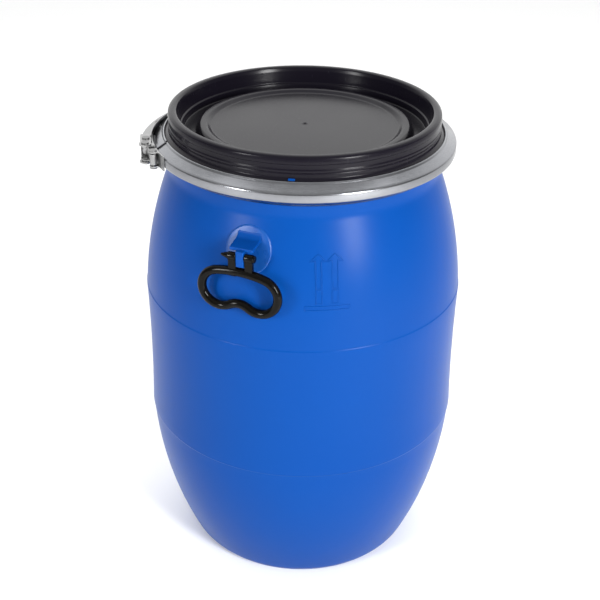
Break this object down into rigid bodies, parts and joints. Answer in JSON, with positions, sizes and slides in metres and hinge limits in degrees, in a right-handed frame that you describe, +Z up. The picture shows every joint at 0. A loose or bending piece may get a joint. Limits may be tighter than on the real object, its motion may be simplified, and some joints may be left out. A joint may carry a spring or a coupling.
{
  "type": "open head drum",
  "caption": "blue plastic open head drum with black stacking lid, steel clamp band with toggle lever, and drop handles on its shoulder",
  "frame": {"origin": "on the floor under the middle of the drum", "axes": "+Z up along the drum's axis; the handles are at -Y (front) and +Y (rear); the lever closure is between the front and -X"},
  "size_m": [0.3999, 0.408, 0.5962],
  "materials": {
    "blue_hdpe": "satin, blow moulded",
    "black_lid": "satin, injection moulded",
    "seal_rubber": "closed cell foam",
    "zinc_steel": "bright galvanised sheet",
    "black_handle": "gloss"
  },
  "bodies": {
    "drum": {"drum_body": "blue_hdpe", "handle_pin_front": "black_handle", "handle_pin_rear": "black_handle"},
    "lid_unit": {"lid": "black_lid", "lid_seal": "seal_rubber"},
    "clamp_ring": {"clamp_band": "zinc_steel", "lever_bracket": "zinc_steel", "lever_pivot_rivets": "zinc_steel"},
    "lever_unit": {"lever": "zinc_steel", "link_rivet": "zinc_steel"},
    "link_unit": {"toggle_link": "zinc_steel"},
    "band_end": {"link_bracket": "zinc_steel", "link_anchor_rivets": "zinc_steel"},
    "handle_f": {"handle_front": "black_handle"},
    "handle_r": {"handle_rear": "black_handle"}
  },
  "joints": [
    {"name": "lid_lift", "type": "slide", "parent": "drum", "child": "lid_unit", "axis": [0, 0, 1], "range_m": [0, 0.36]},
    {"name": "ring_lift", "type": "slide", "parent": "lid_unit", "child": "clamp_ring", "axis": [0, 0, 1], "range_m": [0, 0.18]},
    {"name": "lever_swing", "type": "hinge", "parent": "clamp_ring", "child": "lever_unit", "pos_m": [-0.15498, -0.11468, 0.556], "axis": [0, 0, 1], "range_deg": [0, 150]},
    {"name": "link_swing", "type": "hinge", "parent": "lever_unit", "child": "link_unit", "pos_m": [-0.16148, -0.10012, 0.556], "axis": [0, 0, 1], "range_deg": [-123, 0]},
    {"name": "band_spread", "type": "hinge", "parent": "clamp_ring", "child": "band_end", "pos_m": [0.1409, 0.1141, 0.556], "axis": [0, 0, 1], "range_deg": [0, 3.5], "deforming": ["clamp_band"]},
    {"name": "handle_front_swing", "type": "hinge", "parent": "drum", "child": "handle_f", "pos_m": [0, -0.1988, 0.4886], "axis": [-1, 0, 0], "range_deg": [0, 95]},
    {"name": "handle_rear_swing", "type": "hinge", "parent": "drum", "child": "handle_r", "pos_m": [0, 0.1988, 0.4886], "axis": [1, 0, 0], "range_deg": [0, 95]}
  ],
  "couplings": [
    {"joint": "link_swing", "follows": "lever_swing", "ratio": -0.81851},
    {"joint": "band_spread", "follows": "lever_swing", "ratio": 0.023186}
  ]
}
